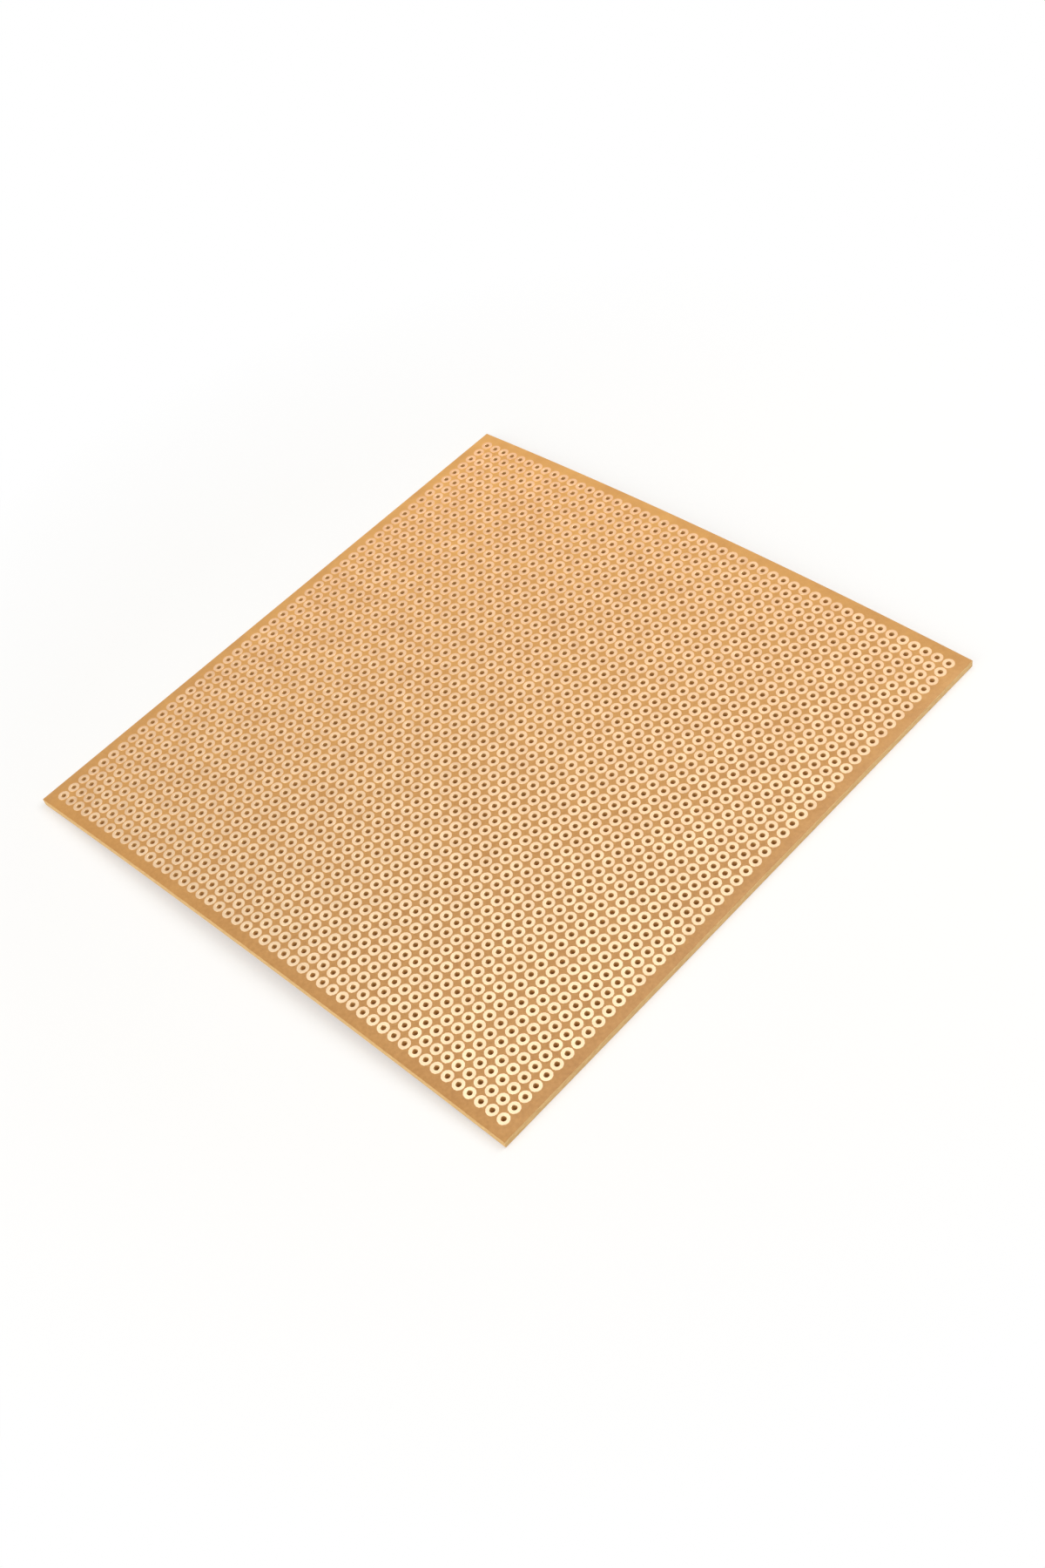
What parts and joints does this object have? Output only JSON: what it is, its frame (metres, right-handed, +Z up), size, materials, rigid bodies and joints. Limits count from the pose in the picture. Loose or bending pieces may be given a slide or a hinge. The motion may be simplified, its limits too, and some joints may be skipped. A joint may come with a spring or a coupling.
{
  "type": "prototype board",
  "caption": "Thin square sheet of paper laminate with a slight bow, drilled all over on a regular grid, with a round copper land round every hole on its upper face.",
  "frame": {"origin": "on the bench, below the middle of the sheet, which stands on its two ends along Y", "axes": "+Z up, out of the copper side; X along the straight rows of holes, Y along the bow"},
  "size_m": [0.1256, 0.1256, 0.0034],
  "materials": {
    "laminate": "phenolic paper laminate, satin",
    "copper": "lacquered copper foil, satin"
  },
  "bodies": {
    "root": {"laminate": "laminate", "copper_lands": "copper"}
  },
  "joints": []
}
